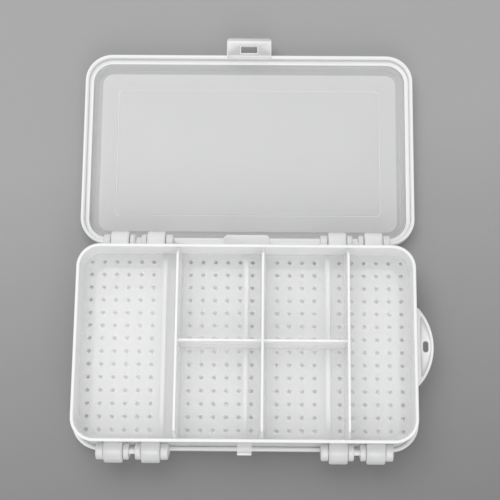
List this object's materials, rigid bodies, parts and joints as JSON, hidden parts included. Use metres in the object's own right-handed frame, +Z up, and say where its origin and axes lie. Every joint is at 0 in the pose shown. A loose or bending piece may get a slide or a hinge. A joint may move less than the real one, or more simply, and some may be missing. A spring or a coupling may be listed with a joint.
{
  "type": "double-sided compartment box",
  "caption": "Double-sided translucent plastic compartment box with a perforated middle floor, fixed dividers on both sides, a hinged lid with a latch on each side and a hanging tab.",
  "frame": {"origin": "middle of the tray's footprint, on the surface that the box stands on", "axes": "+X towards the end with the hanging tab, +Y towards the upper lid's hinges, +Z up"},
  "size_m": [0.1777, 0.2233, 0.0361],
  "materials": {
    "tray_plastic": "translucent natural polypropylene, satin",
    "lid_plastic": "translucent natural polypropylene, smooth",
    "pin_plastic": "white plastic rod, satin"
  },
  "bodies": {
    "tray": {"tray_walls": "tray_plastic", "tray_floor": "tray_plastic", "divider_left": "tray_plastic", "divider_middle": "tray_plastic", "divider_right": "tray_plastic", "cross_divider_left": "tray_plastic", "cross_divider_right": "tray_plastic", "lower_divider_left": "tray_plastic", "lower_divider_middle": "tray_plastic", "lower_divider_right": "tray_plastic", "hinge_pin_rear_left": "pin_plastic", "hinge_pin_rear_right": "pin_plastic", "hinge_pin_front_left": "pin_plastic", "hinge_pin_front_right": "pin_plastic"},
    "upper_lid": {"upper_lid": "lid_plastic"},
    "lower_lid": {"lower_lid": "lid_plastic"},
    "upper_latch": {"upper_latch": "lid_plastic"},
    "lower_latch": {"lower_latch": "lid_plastic"}
  },
  "joints": [
    {"name": "upper_lid_hinge", "type": "hinge", "parent": "tray", "child": "upper_lid", "pos_m": [0, 0.0519, 0.01895], "axis": [1, 0, 0], "range_deg": [0, 178]},
    {"name": "lower_lid_hinge", "type": "hinge", "parent": "tray", "child": "lower_lid", "pos_m": [0, -0.0519, 0.01895], "axis": [-1, 0, 0], "range_deg": [0, 178]},
    {"name": "upper_latch_hinge", "type": "hinge", "parent": "upper_lid", "child": "upper_latch", "pos_m": [0, 0.15388, 0.01426], "axis": [1, 0, 0], "range_deg": [0, 90]},
    {"name": "lower_latch_hinge", "type": "hinge", "parent": "lower_lid", "child": "lower_latch", "pos_m": [0, 0.04985, 0.0107], "axis": [-1, 0, 0], "range_deg": [0, 90]}
  ]
}
